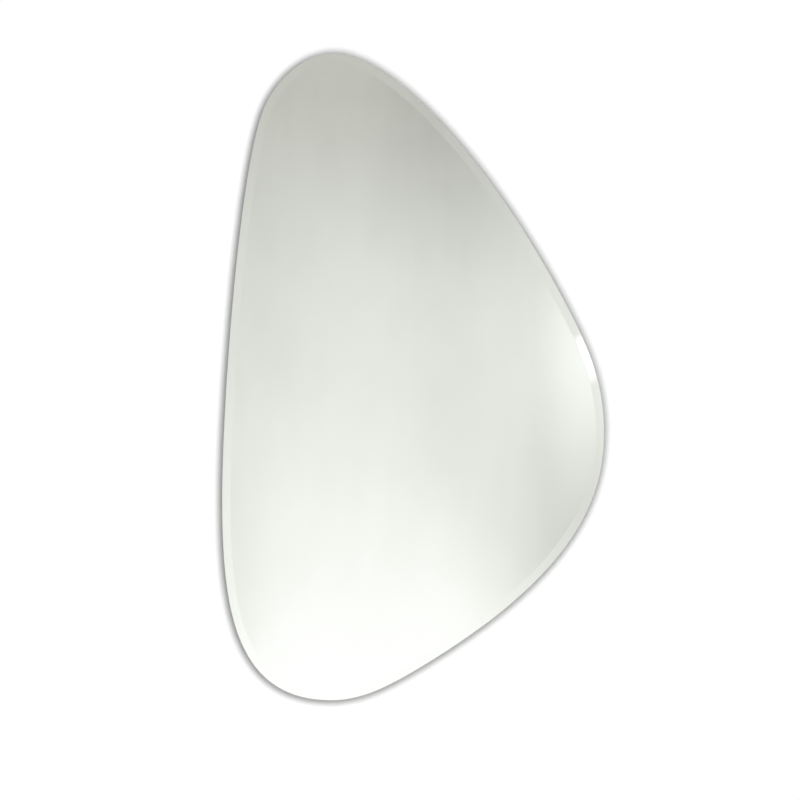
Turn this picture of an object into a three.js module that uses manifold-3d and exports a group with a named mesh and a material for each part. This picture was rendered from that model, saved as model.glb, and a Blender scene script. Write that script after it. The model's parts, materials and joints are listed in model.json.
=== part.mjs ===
// A frameless wall mirror with a free-form, pebble-like outline and a polished bevel all round.
//
// From the room to the wall it is a stack: bevelled glass, the silver with its paint, a safety film, a layer
// of foam tape and mirror adhesive, an inset fibreboard, and on the board's back two strap hangers with
// swinging D-rings, their screws, and four rubber bumpers that hold it off the wall.
//
// Millimetres. X runs to the right as the room sees it, Y runs into the wall, and Z runs up. Y = 0 is the
// wall, X = 0 is the upright line through the glass's centre of area, and Z = 0 is the line of the wall
// hooks, where the crowns of the two D-rings bear.

import * as THREE from "three";
import { mergeVertices } from "three/addons/utils/BufferGeometryUtils.js";
import Module from "manifold-3d";

const wasm = await Module();
wasm.setup();

// ------------------------------------------------------------------------------ driving dimensions

const GLASS_WIDTH = 590;
const GLASS_HEIGHT = 1000;
const GLASS_THICKNESS = 5;
const BEVEL_WIDTH = 12.5;
const EDGE_THICKNESS = 3.2; // what the bevel leaves of the glass at its rim
const ARRIS = 0.5; // the small polished chamfer on both corners of the rim

const SILVER_THICKNESS = 0.2; // silver and its protective paint together
const FILM_THICKNESS = 0.3;
const FILM_INSET = 2; // from the rim of the glass to the edge of the film

const ADHESIVE_THICKNESS = 1.6;
const TAPE_WIDTH = 25;
const TAPE_SIDE_MARGIN = 95; // from the edge of the board, at its widest, to the middle of an outer strip
const TAPE_END_MARGIN = 30; // from the end of a strip to the edge of the board
const DAB_RADIUS = 22;
const DAB_BULGE = 0.8; // how far the squeezed rim of a dab stands out
const DAB_ROWS = [3, 2, 2]; // how many dabs there are in each gap between two strips, from the left

const BOARD_THICKNESS = 9;
const BOARD_INSET = 35; // from the rim of the glass to the edge of the board
const BOARD_CHAMFER = 1;

const BUMPER_BASE_RADIUS = 11;
const BUMPER_FACE_RADIUS = 9.5;
const BUMPER_ROUNDING = 1;
const BUMPER_MARGIN = 24; // from the edge of the board to the middle of a bumper

const HOOK_DROP = 280; // from the top of the glass down to the line of the hooks
const HANGER_MARGIN = 49; // from the middle of a strap out to the edge of the board, along that line
const EYE_TO_WALL = 0.9; // what the bumpers keep between the hangers and the wall

const STRAP_THICKNESS = 1.5;
const STRAP_WIDTH = 16;
const STRAP_TAIL = 9; // from the lower screw to the round end
const EYE_END_ANGLE = -118; // where the rolled eye stops, just short of the strap again

const RING_WIRE_RADIUS = 1.75;
const RING_CORNER_RADIUS = 4;
const RING_SIDE_GAP = 1; // from the side of the strap to where the ring's corner starts
const RING_LEG = 2; // the straight between a corner and the crown

const SCREW_SHANK_RADIUS = 1.6;
const SCREW_TIP_LENGTH = 2.4;
const SCREW_COVER = 1.5; // the board left in front of a screw's tip
const SCREW_HEAD_RADIUS = 3.4;
const SCREW_HEAD_HEIGHT = 2.2;
const SCREW_HEAD_RIM = 0.9; // the upright part of the head, under its dome
const RECESS_SPAN = 3.8;
const RECESS_SLOT = 1;
const RECESS_DEPTH = 1.2;

const RUNNING_CLEARANCE = 0.3; // round the ring's bar, and where the ring leans on the board
const SCREW_CLEARANCE = 0.35; // round a shank in the strap, and in its pilot hole
const FOLDED_CLEARANCE = 3; // from the ring, folded down over the strap, to each screw head

// The outline, clockwise from the top as the room sees it, about the middle of the glass. It is seven cubic
// curves. Each anchor has its place, the heading of the rim there in degrees, and the reach of the handles
// towards the anchor before and the anchor after it. The whole is stretched to the glass's width and height.
const OUTLINE = {
  top: { x: -123, z: 500, heading: 0, before: 48, after: 88 },
  rightShoulder: { x: 245, z: 95, heading: -63, before: 270, after: 48 },
  right: { x: 295, z: -84, heading: -90, before: 79, after: 89 },
  rightFoot: { x: 34, z: -435, heading: -148, before: 274, after: 85 },
  bottom: { x: -127, z: -500, heading: -180, before: 48, after: 152 },
  left: { x: -295, z: -186, heading: -270, before: 165, after: 135 },
  leftShoulder: { x: -232, z: 411, heading: -291, before: 106, after: 48 },
};
const FACET_TURN = 3.5; // how far the rim may turn along one facet, in degrees
const FACET_LENGTH = 36;
const BUMPER_ANCHORS = ["top", "right", "bottom", "left"];

// --------------------------------------------------------------------- places that follow from them

const EYE_INNER_RADIUS = RING_WIRE_RADIUS + RUNNING_CLEARANCE;
const EYE_OUTER_RADIUS = EYE_INNER_RADIUS + STRAP_THICKNESS;
const BUMPER_HEIGHT = 2 * EYE_OUTER_RADIUS + EYE_TO_WALL;
const BOARD_BACK = -BUMPER_HEIGHT;
const BOARD_FRONT = BOARD_BACK - BOARD_THICKNESS;
const FILM_BACK = BOARD_FRONT - ADHESIVE_THICKNESS;
const FILM_FRONT = FILM_BACK - FILM_THICKNESS;
const GLASS_BACK = FILM_FRONT - SILVER_THICKNESS;
const GLASS_FRONT = GLASS_BACK - GLASS_THICKNESS;
const EDGE_FRONT = GLASS_BACK - EDGE_THICKNESS;

const RING_WIDTH = STRAP_WIDTH + 2 * (RING_SIDE_GAP + RING_CORNER_RADIUS);
const RING_HEIGHT = RING_CORNER_RADIUS + RING_LEG + RING_WIDTH / 2;
const STRAP_FACE = BOARD_BACK + STRAP_THICKNESS;
const EYE_Y = BOARD_BACK + EYE_OUTER_RADIUS;
const RING_LEAN = Math.asin((EYE_Y - BOARD_BACK - RING_WIRE_RADIUS - RUNNING_CLEARANCE) / RING_HEIGHT);
const EYE_Z = -(RING_HEIGHT - RING_WIRE_RADIUS) * Math.cos(RING_LEAN);

const SCREW_BITE = BOARD_THICKNESS - SCREW_COVER;
const SCREW_SHIFT = RING_WIRE_RADIUS + FOLDED_CLEARANCE + SCREW_HEAD_RADIUS;
const UPPER_SCREW_Z = EYE_Z - (RING_HEIGHT - SCREW_SHIFT);
const LOWER_SCREW_Z = EYE_Z - (RING_HEIGHT + SCREW_SHIFT);
const STRAP_END_Z = LOWER_SCREW_Z - STRAP_TAIL;

// ------------------------------------------------------------------------------- materials

const finish = (color, roughness, metalness = 0, more = {}) =>
  new THREE.MeshStandardMaterial({ color, roughness, metalness, ...more });

const GLASS = finish(0xd7e6de, 0.02, 0, { transparent: true, opacity: 0.35 });
const SILVER = finish(0xe3e6e0, 0.03, 1);
const FILM = finish(0xc9ccca, 0.6);
const FOAM = finish(0xe9e8e2, 0.9);
const MASTIC = finish(0xd8d4c8, 0.7);
const FIBREBOARD = finish(0x9a7450, 0.85);
const ZINC = finish(0xb9bcc0, 0.35, 1);
const RUBBER = finish(0x1d1d1e, 0.8);

// ------------------------------------------------------------------------------- geometry helpers

// The rim as points with their inward normals, about the middle of the glass.
function rimSamples() {
  const stretch = new THREE.Vector2(
    GLASS_WIDTH / (OUTLINE.right.x - OUTLINE.left.x),
    GLASS_HEIGHT / (OUTLINE.top.z - OUTLINE.bottom.z),
  );
  const handle = (anchor, reach) => {
    const heading = THREE.MathUtils.degToRad(anchor.heading);
    const along = new THREE.Vector2(Math.cos(heading), Math.sin(heading));
    return new THREE.Vector2(anchor.x, anchor.z).addScaledVector(along, reach).multiply(stretch);
  };
  const names = Object.keys(OUTLINE);
  return names.flatMap((name, index) => {
    const from = OUTLINE[name];
    const to = OUTLINE[names[(index + 1) % names.length]];
    const curve = new THREE.CubicBezierCurve(
      handle(from, 0),
      handle(from, from.after),
      handle(to, -to.before),
      handle(to, 0),
    );
    const turn = (from.heading - to.heading + 360) % 360;
    const count = Math.ceil(Math.max(turn / FACET_TURN, curve.getLength() / FACET_LENGTH));
    return Array.from({ length: count }, (_, step) => {
      const point = curve.getPoint(step / count);
      const along = curve.getTangent(step / count);
      const anchor = step === 0 ? name : "";
      return { x: point.x, z: point.y, inX: along.y, inZ: -along.x, anchor };
    });
  });
}

// The area and the centre of area of a closed loop of { x, z } points.
function centreOf(loop) {
  let area = 0;
  let x = 0;
  let z = 0;
  loop.forEach((a, index) => {
    const b = loop[(index + 1) % loop.length];
    const cross = a.x * b.z - b.x * a.z;
    area += cross / 2;
    x += ((a.x + b.x) * cross) / 6;
    z += ((a.z + b.z) * cross) / 6;
  });
  return { x: x / area, z: z / area };
}

const drawn = rimSamples();
const glassX = -centreOf(drawn).x;
const glassZ = HOOK_DROP - GLASS_HEIGHT / 2;
const RIM = drawn.map((s) => ({ ...s, x: s.x + glassX, z: s.z + glassZ }));

// The rim drawn in by a distance.
const rimInset = (distance) =>
  RIM.map((s) => ({ x: s.x + s.inX * distance, z: s.z + s.inZ * distance }));

// A closed solid through loops of { x, z } points, each at its own depth y, from the wall towards the room.
function loft(levels) {
  const count = levels[0].loop.length;
  const positions = levels.flatMap(({ loop, y }) => loop.flatMap((p) => [p.x, y, p.z]));
  const faces = [];
  for (let level = 0; level + 1 < levels.length; level++) {
    for (let i = 0; i < count; i++) {
      const next = (i + 1) % count;
      const [a, b] = [level * count + i, level * count + next];
      const [c, d] = [a + count, b + count];
      faces.push(a, d, b, a, c, d);
    }
  }
  const last = (levels.length - 1) * count;
  const flat = (loop) => loop.map((p) => new THREE.Vector2(p.x, p.z));
  for (const [i, j, k] of THREE.ShapeUtils.triangulateShape(flat(levels[0].loop), [])) {
    faces.push(i, k, j);
  }
  for (const [i, j, k] of THREE.ShapeUtils.triangulateShape(flat(levels.at(-1).loop), [])) {
    faces.push(last + i, last + j, last + k);
  }
  const geometry = new THREE.BufferGeometry();
  geometry.setAttribute("position", new THREE.Float32BufferAttribute(positions, 3));
  geometry.setIndex(faces);
  return geometry;
}

// A geometry as a manifold-3d solid, whichever way its faces point.
function solid(geometry) {
  const bare = geometry.clone();
  bare.deleteAttribute("normal");
  bare.deleteAttribute("uv");
  const merged = mergeVertices(bare, 1e-4);
  const made = (triVerts) =>
    new wasm.Manifold(
      new wasm.Mesh({ numProp: 3, vertProperties: merged.attributes.position.array, triVerts }),
    );
  const facing = made(new Uint32Array(merged.index.array));
  return facing.volume() >= 0 ? facing : made(new Uint32Array(merged.index.array).reverse());
}

// A solid as a flat-shaded geometry.
function surface(manifold) {
  const mesh = manifold.getMesh();
  const indexed = new THREE.BufferGeometry();
  indexed.setAttribute("position", new THREE.BufferAttribute(mesh.vertProperties, mesh.numProp));
  indexed.setIndex(new THREE.BufferAttribute(mesh.triVerts, 1));
  const geometry = indexed.toNonIndexed();
  geometry.computeVertexNormals();
  return geometry;
}

// A cylinder along Y between two depths.
function pin(radius, yBack, yFront, x, z, sides = 16) {
  return new THREE.CylinderGeometry(radius, radius, yBack - yFront, sides).translate(
    x,
    (yBack + yFront) / 2,
    z,
  );
}

// Points along an arc, both ends included, with its angles in degrees.
function arc(x, y, radius, from, to, steps) {
  return Array.from({ length: steps + 1 }, (_, step) => {
    const angle = THREE.MathUtils.degToRad(from + ((to - from) * step) / steps);
    return new THREE.Vector2(x + radius * Math.cos(angle), y + radius * Math.sin(angle));
  });
}

const mirror = new THREE.Group();

function add(name, geometry, material) {
  const mesh = new THREE.Mesh(surface(solid(geometry)), material);
  mesh.name = name;
  mirror.add(mesh);
  return mesh;
}

// ------------------------------------------------------------------------------- glass and its back

function makeGlass() {
  const bevelDrop = GLASS_THICKNESS - EDGE_THICKNESS;
  const arrisDrop = (bevelDrop * ARRIS) / BEVEL_WIDTH;
  add(
    "mirror_glass",
    loft([
      { loop: rimInset(ARRIS), y: GLASS_BACK },
      { loop: rimInset(0), y: GLASS_BACK - ARRIS },
      { loop: rimInset(0), y: EDGE_FRONT + ARRIS },
      { loop: rimInset(ARRIS), y: EDGE_FRONT - arrisDrop },
      { loop: rimInset(BEVEL_WIDTH), y: GLASS_FRONT },
    ]),
    GLASS,
  );
}

// A flat layer from one depth to another, with its edge drawn in from the rim of the glass.
function layer(inset, yBack, yFront) {
  const loop = rimInset(inset);
  return loft([
    { loop, y: yBack },
    { loop, y: yFront },
  ]);
}

function makeSilver() {
  add("silver_coating", layer(ARRIS, FILM_FRONT, GLASS_BACK), SILVER);
}

function makeFilm() {
  add("safety_film", layer(FILM_INSET, FILM_BACK, FILM_FRONT), FILM);
}

// ------------------------------------------------------------------------------- adhesive layer

// Where a line at the given x or z crosses a closed loop: the lowest and the highest value of the other one.
function crossings(loop, key, at) {
  const other = key === "x" ? "z" : "x";
  const hits = [];
  loop.forEach((a, index) => {
    const b = loop[(index + 1) % loop.length];
    if (a[key] <= at !== b[key] <= at) {
      hits.push(a[other] + ((b[other] - a[other]) * (at - a[key])) / (b[key] - a[key]));
    }
  });
  return [Math.min(...hits), Math.max(...hits)];
}

const BOARD_EDGE = rimInset(BOARD_INSET);
const boardLeft = Math.min(...BOARD_EDGE.map((p) => p.x));
const boardRight = Math.max(...BOARD_EDGE.map((p) => p.x));

// The lowest and highest z at which an upright strip of the given width stays inside the board.
function boardSpan(x, width) {
  const [lowA, highA] = crossings(BOARD_EDGE, "x", x - width / 2);
  const [lowB, highB] = crossings(BOARD_EDGE, "x", x + width / 2);
  return [Math.max(lowA, lowB), Math.min(highA, highB)];
}

const tapePitch = (boardRight - boardLeft - 2 * TAPE_SIDE_MARGIN) / DAB_ROWS.length;
const tapeX = (index) => boardLeft + TAPE_SIDE_MARGIN + index * tapePitch;
const adhesiveY = (BOARD_FRONT + FILM_BACK) / 2;

function makeTapes() {
  for (let index = 0; index <= DAB_ROWS.length; index++) {
    const x = tapeX(index);
    const [low, high] = boardSpan(x, TAPE_WIDTH);
    const length = high - low - 2 * TAPE_END_MARGIN;
    const strip = new THREE.BoxGeometry(TAPE_WIDTH, ADHESIVE_THICKNESS, length);
    add(`foam_tape_${index + 1}`, strip.translate(x, adhesiveY, (low + high) / 2), FOAM);
  }
}

// A dab of adhesive squeezed between the film and the board.
function dab(x, z) {
  const profile = [
    [0, FILM_BACK],
    [DAB_RADIUS, FILM_BACK],
    [DAB_RADIUS + DAB_BULGE, adhesiveY],
    [DAB_RADIUS, BOARD_FRONT],
    [0, BOARD_FRONT],
  ];
  const points = profile.map(([radius, y]) => new THREE.Vector2(radius, y));
  return new THREE.LatheGeometry(points, 20).translate(x, 0, z);
}

function makeDabs() {
  let number = 0;
  DAB_ROWS.forEach((rows, gap) => {
    const x = (tapeX(gap) + tapeX(gap + 1)) / 2;
    const [low, high] = boardSpan(x, 2 * (DAB_RADIUS + DAB_BULGE));
    for (let row = 0; row < rows; row++) {
      const z = low + ((high - low) * (row + 0.5)) / rows;
      number += 1;
      add(`adhesive_dab_${number}`, dab(x, z), MASTIC);
    }
  });
}

// ------------------------------------------------------------------------------- backing board

const [lineLeft, lineRight] = crossings(BOARD_EDGE, "z", 0);
const HANGER_X = Math.min(-lineLeft, lineRight) - HANGER_MARGIN;
const HANGERS = [
  { side: "left", x: -HANGER_X },
  { side: "right", x: HANGER_X },
];
const SCREWS = HANGERS.flatMap(({ side, x }) => [
  { name: `screw_${side}_upper`, side, x, z: UPPER_SCREW_Z },
  { name: `screw_${side}_lower`, side, x, z: LOWER_SCREW_Z },
]);

function makeBoard() {
  const blank = loft([
    { loop: rimInset(BOARD_INSET + BOARD_CHAMFER), y: BOARD_BACK },
    { loop: BOARD_EDGE, y: BOARD_BACK - BOARD_CHAMFER },
    { loop: BOARD_EDGE, y: BOARD_FRONT },
  ]);
  const holeEnd = BOARD_BACK - SCREW_BITE - SCREW_CLEARANCE;
  let board = solid(blank);
  for (const { x, z } of SCREWS) {
    const pilot = pin(SCREW_SHANK_RADIUS + SCREW_CLEARANCE, BOARD_BACK + 1, holeEnd, x, z);
    board = board.subtract(solid(pilot));
  }
  add("backing_board", surface(board), FIBREBOARD);
}

// ------------------------------------------------------------------------------- hangers

// The strap seen from its side, with shape x running out of the board and shape y running up from the eye's
// axis: a flat leaf whose top is rolled into an eye.
function strapProfile() {
  const foot = STRAP_END_Z - EYE_Z;
  const end = THREE.MathUtils.degToRad(EYE_END_ANGLE);
  const innerX = EYE_OUTER_RADIUS + EYE_INNER_RADIUS * Math.cos(end);
  const profile = new THREE.Shape();
  profile.moveTo(0, foot);
  profile.lineTo(0, 0);
  profile.absarc(EYE_OUTER_RADIUS, 0, EYE_OUTER_RADIUS, Math.PI, end, true);
  profile.lineTo(innerX, EYE_INNER_RADIUS * Math.sin(end));
  profile.absarc(EYE_OUTER_RADIUS, 0, EYE_INNER_RADIUS, end, Math.PI, false);
  profile.lineTo(STRAP_THICKNESS, foot);
  return profile;
}

// A block through the whole strap that has its plan: straight sides and a round lower end.
function strapPlan(x) {
  const half = STRAP_WIDTH / 2;
  const top = EYE_Z + 2 * EYE_OUTER_RADIUS;
  const loop = [{ x: x + half, z: top }];
  for (const point of arc(x, STRAP_END_Z + half, half, 0, -180, 12)) loop.push({ x: point.x, z: point.y });
  loop.push({ x: x - half, z: top });
  return loft([
    { loop, y: BOARD_BACK + 3 * EYE_OUTER_RADIUS },
    { loop, y: BOARD_BACK - EYE_OUTER_RADIUS },
  ]);
}

function makeStrap({ side, x }) {
  const rolled = new THREE.ExtrudeGeometry(strapProfile(), {
    depth: STRAP_WIDTH,
    bevelEnabled: false,
    curveSegments: 10,
  });
  const alongX = new THREE.Matrix4().makeBasis(
    new THREE.Vector3(0, 1, 0),
    new THREE.Vector3(0, 0, 1),
    new THREE.Vector3(1, 0, 0),
  );
  rolled.applyMatrix4(alongX).translate(x - STRAP_WIDTH / 2, BOARD_BACK, EYE_Z);
  let strap = solid(rolled).intersect(solid(strapPlan(x)));
  for (const screw of SCREWS.filter((s) => s.side === side)) {
    const hole = pin(SCREW_SHANK_RADIUS + SCREW_CLEARANCE, STRAP_FACE + 1, BOARD_BACK - 1, x, screw.z);
    strap = strap.subtract(solid(hole));
  }
  add(`strap_${side}`, surface(strap), ZINC);
}

// The D-ring's centre line, with the bar on the axis of the eye and the crown above it.
function ringLine() {
  const corner = RING_CORNER_RADIUS;
  const flat = RING_WIDTH / 2 - corner;
  return [
    ...arc(flat, corner, corner, -90, 0, 3),
    ...arc(0, corner + RING_LEG, RING_WIDTH / 2, 0, 180, 14),
    ...arc(-flat, corner, corner, 180, 270, 3),
  ];
}

// A round wire bent along a closed flat line in the XZ plane.
function bentWire(line, radius, sides) {
  const positions = [];
  const faces = [];
  line.forEach((point, i) => {
    const before = line[(i + line.length - 1) % line.length];
    const after = line[(i + 1) % line.length];
    const along = after.clone().sub(before).normalize();
    for (let side = 0; side < sides; side++) {
      const turn = (side / sides) * 2 * Math.PI;
      const out = radius * Math.cos(turn);
      positions.push(point.x + along.y * out, radius * Math.sin(turn), point.y - along.x * out);
      const [a, b] = [i * sides + side, i * sides + ((side + 1) % sides)];
      const next = ((i + 1) % line.length) * sides - i * sides;
      faces.push(a, b, b + next, a, b + next, a + next);
    }
  });
  const geometry = new THREE.BufferGeometry();
  geometry.setAttribute("position", new THREE.Float32BufferAttribute(positions, 3));
  geometry.setIndex(faces);
  return geometry;
}

function makeRing({ side, x }) {
  const ring = bentWire(ringLine(), RING_WIRE_RADIUS, 10);
  const mesh = add(`ring_${side}`, ring, ZINC);
  mesh.position.set(x, EYE_Y, EYE_Z);
  mesh.rotation.x = RING_LEAN;
}

// A pan-head wood screw with a cross recess, driven straight into the board.
function screwGeometry(x, z) {
  const tip = BOARD_BACK - SCREW_BITE;
  const domeRise = SCREW_HEAD_HEIGHT - SCREW_HEAD_RIM;
  const points = [
    new THREE.Vector2(0, tip),
    new THREE.Vector2(SCREW_SHANK_RADIUS, tip + SCREW_TIP_LENGTH),
    new THREE.Vector2(SCREW_SHANK_RADIUS, STRAP_FACE),
    new THREE.Vector2(SCREW_HEAD_RADIUS, STRAP_FACE),
  ];
  for (const dome of arc(0, 0, 1, 0, 66, 3)) {
    const height = STRAP_FACE + SCREW_HEAD_RIM + domeRise * dome.y;
    points.push(new THREE.Vector2(SCREW_HEAD_RADIUS * dome.x, height));
  }
  points.push(new THREE.Vector2(0, STRAP_FACE + SCREW_HEAD_HEIGHT));
  return new THREE.LatheGeometry(points, 16).translate(x, 0, z);
}

function makeScrew({ name, x, z }) {
  const crown = STRAP_FACE + SCREW_HEAD_HEIGHT;
  const arm = (spanX, spanZ) =>
    solid(new THREE.BoxGeometry(spanX, 2 * RECESS_DEPTH, spanZ).translate(x, crown, z));
  const cross = arm(RECESS_SPAN, RECESS_SLOT).add(arm(RECESS_SLOT, RECESS_SPAN));
  add(name, surface(solid(screwGeometry(x, z)).subtract(cross)), ZINC);
}

// ------------------------------------------------------------------------------- bumpers

function makeBumper(sample) {
  const distance = BOARD_INSET + BUMPER_MARGIN;
  const rounding = BUMPER_ROUNDING;
  const points = [
    new THREE.Vector2(0, BOARD_BACK),
    new THREE.Vector2(BUMPER_BASE_RADIUS, BOARD_BACK),
    new THREE.Vector2(BUMPER_FACE_RADIUS + rounding * 0.2, -rounding),
    new THREE.Vector2(BUMPER_FACE_RADIUS - rounding * 0.3, -rounding * 0.3),
    new THREE.Vector2(BUMPER_FACE_RADIUS - rounding, 0),
    new THREE.Vector2(0, 0),
  ];
  const bumper = new THREE.LatheGeometry(points, 24);
  bumper.translate(sample.x + sample.inX * distance, 0, sample.z + sample.inZ * distance);
  add(`bumper_${sample.anchor}`, bumper, RUBBER);
}

// ------------------------------------------------------------------------------- the mirror

makeGlass();
makeSilver();
makeFilm();
makeTapes();
makeDabs();
makeBoard();
HANGERS.forEach(makeStrap);
HANGERS.forEach(makeRing);
SCREWS.forEach(makeScrew);
RIM.filter((sample) => BUMPER_ANCHORS.includes(sample.anchor)).forEach(makeBumper);

export default mirror;
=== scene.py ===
"""A frameless, pebble-shaped wall mirror with a polished bevel, dressed round its packed frame.

Lengths are in metres. X runs to the right as the room sees the mirror, Y runs into the wall, and Z runs up.
"""

import json
import math

import bmesh
import bpy
from bpy.props import FloatProperty, FloatVectorProperty, IntProperty, PointerProperty
from bpy.types import Operator, Panel, PropertyGroup
from mathutils import Matrix, Vector, noise


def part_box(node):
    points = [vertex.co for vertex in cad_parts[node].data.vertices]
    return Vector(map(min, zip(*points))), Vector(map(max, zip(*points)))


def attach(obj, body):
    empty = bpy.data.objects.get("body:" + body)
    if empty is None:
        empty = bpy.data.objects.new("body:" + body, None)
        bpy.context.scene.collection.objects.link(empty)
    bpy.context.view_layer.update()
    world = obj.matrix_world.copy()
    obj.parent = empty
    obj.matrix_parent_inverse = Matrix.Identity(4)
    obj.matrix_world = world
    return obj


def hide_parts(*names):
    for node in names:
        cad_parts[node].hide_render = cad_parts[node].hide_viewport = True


bl_info = {
    "name": "Irregular bevelled wall mirror",
    "version": (1, 0, 0),
    "blender": (4, 5, 0),
    "location": "3D View > Sidebar > Wall mirror",
    "description": "Builds a pebble-shaped bevelled mirror with its board and hangers, in a plain studio",
    "category": "Add Mesh",
}

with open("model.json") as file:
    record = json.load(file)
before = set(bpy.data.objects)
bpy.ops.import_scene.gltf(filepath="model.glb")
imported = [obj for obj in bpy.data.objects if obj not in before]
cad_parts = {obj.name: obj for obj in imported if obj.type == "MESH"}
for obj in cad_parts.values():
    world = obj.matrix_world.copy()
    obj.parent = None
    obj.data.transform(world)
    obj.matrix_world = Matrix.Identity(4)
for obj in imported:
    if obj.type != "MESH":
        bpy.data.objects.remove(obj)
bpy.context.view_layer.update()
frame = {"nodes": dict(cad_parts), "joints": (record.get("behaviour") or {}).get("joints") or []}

MM = 0.001
HAIR = 0.02 * MM  # between sheets that touch
HOLE_RADIUS = 1.95 * MM  # of a screw's hole in a strap and in the board
GLASS_IOR = 1.52
X_AXIS, Y_AXIS = Vector((1, 0, 0)), Vector((0, 1, 0))
SIDES = ("left", "right")
LEVELS = ("upper", "lower")

# ------------------------------------------------------------------ places that the frame gives

GLASS_LOW, GLASS_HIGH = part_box("mirror_glass")
SILVER_LOW, SILVER_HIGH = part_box("silver_coating")
FILM_LOW, FILM_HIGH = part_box("safety_film")
BOARD_LOW, BOARD_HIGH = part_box("backing_board")
BOARD_BACK = BOARD_HIGH.y
GLASS_CENTRE = (GLASS_LOW + GLASS_HIGH) / 2

# The outline, clockwise from the top as the room sees it, about the middle of the glass, in millimetres:
# place across and up, heading of the rim in degrees, and the reach of the handles before and after.
OUTLINE = (
    (-123, 500, 0, 48, 88),
    (245, 95, -63, 270, 48),
    (295, -84, -90, 79, 89),
    (34, -435, -148, 274, 85),
    (-127, -500, -180, 48, 152),
    (-295, -186, -270, 165, 135),
    (-232, 411, -291, 106, 48),
)
OUTLINE_WIDTH, OUTLINE_HEIGHT = 590 * MM, 1000 * MM


def joint_axis(side):
    """The point on a ring's swing axis, in the middle of its bar."""
    joint = next(j for j in frame["joints"] if j["child"] == f"ring_{side}")
    return Vector(joint["pos_m"])


# ------------------------------------------------------------------------------------ settings


def length(name, description, default, low=0.0, high=1.0):
    """A length in metres that a user may change."""
    return FloatProperty(
        name=name, description=description, default=default, min=low, max=high, precision=5, unit="LENGTH"
    )


def colour(name, description, default):
    """A linear colour that a user may change."""
    return FloatVectorProperty(
        name=name, description=description, default=default, size=3, min=0.0, max=1.0, subtype="COLOR"
    )


def power(name, description, default):
    """The power of a lamp in watts."""
    return FloatProperty(name=name, description=description, default=default, min=0.0, unit="POWER")


class GlassSettings(PropertyGroup):
    """The bevelled glass, its silver and its film."""

    bevel_width: length("Bevel width", "How far the bevel reaches in from the rim", 12.5 * MM)
    edge_thickness: length("Edge thickness", "Glass that the bevel leaves at the rim", 3.2 * MM)
    arris: length("Arris", "Width of the small chamfers on the rim", 0.5 * MM)
    rim_steps: IntProperty(
        name="Rim steps", description="Steps along each curve of the rim", default=44, min=8, max=200
    )
    tint: colour("Tint", "What the glass leaves of light on its way through", (0.992, 1.0, 0.99))
    silver: colour("Silver", "Colour of the silver", (0.985, 0.985, 0.98))
    paint: colour("Paint", "Protective paint behind the silver", (0.13, 0.16, 0.145))
    film: colour("Film", "Safety film over the paint", (0.6, 0.62, 0.61))


class BackSettings(PropertyGroup):
    """The board, and what holds it to the glass."""

    chamfer: length("Board chamfer", "Eased edge on the back of the board", 1.0 * MM)
    board: colour("Board", "Sanded face of the fibreboard", (0.43, 0.27, 0.145))
    foam: colour("Foam tape", "Closed-cell foam tape", (0.8, 0.79, 0.75))
    adhesive: colour("Adhesive", "Cured mirror adhesive", (0.72, 0.67, 0.57))


class HangerSettings(PropertyGroup):
    """The straps, rings, screws and bumpers."""

    strap_thickness: length("Strap thickness", "Steel strip of a strap", 1.5 * MM)
    strap_width: length("Strap width", "Steel strip of a strap", 16 * MM)
    strap_rounding: length("Strap rounding", "Rounding of a strap's edges", 0.22 * MM)
    clearance: length("Running clearance", "Gap round a ring's bar in its eye", 0.3 * MM)
    eye_turn: FloatProperty(
        name="Eye turn",
        description="How far round the eye is rolled",
        default=math.radians(298),
        min=math.radians(180),
        max=math.radians(330),
        subtype="ANGLE",
    )
    wire_radius: length("Wire radius", "Wire of a ring", 1.75 * MM)
    ring_corner: length("Ring corner", "Bend between a ring's bar and its leg", 4 * MM)
    ring_leg: length("Ring leg", "Straight part between corner and crown", 2 * MM)
    ring_gap: length("Ring gap", "From the side of a strap to a ring's corner", 1 * MM)
    zinc: colour("Zinc", "Bright zinc plating", (0.66, 0.68, 0.7))
    rubber: colour("Rubber", "Rubber of the bumpers", (0.018, 0.018, 0.02))


class StageSettings(PropertyGroup):
    """The camera, the lamps and the room that the mirror shows."""

    lens: FloatProperty(name="Lens", description="Focal length", default=85.0, min=20.0, unit="CAMERA")
    view_height: length("View height", "Height of the picture at the mirror", 1.2348, 0.1, 5.0)
    aim_left: length("Aim left", "How far left of the mirror's middle the camera looks", 20.3 * MM)
    aim_down: length("Aim down", "How far below the mirror's middle the camera looks", 35.9 * MM)
    key_power: power("Key power", "Power of the big soft lamp in front", 100.0)
    fill_power: power("Fill power", "Power of the soft lamp behind", 45.0)
    room_light: FloatProperty(
        name="Room light", description="Plain light from all round", default=0.36, min=0.0, max=1.0
    )
    card_distance: length("Card distance", "From the glass to the card that it reflects", 0.48, 0.1, 3.0)
    wall: colour("Wall", "Paint of the wall", (0.86, 0.86, 0.86))
    floor: colour("Floor", "Pale floor", (0.8, 0.8, 0.79))


# --------------------------------------------------------------------------------- shader trees


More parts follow.
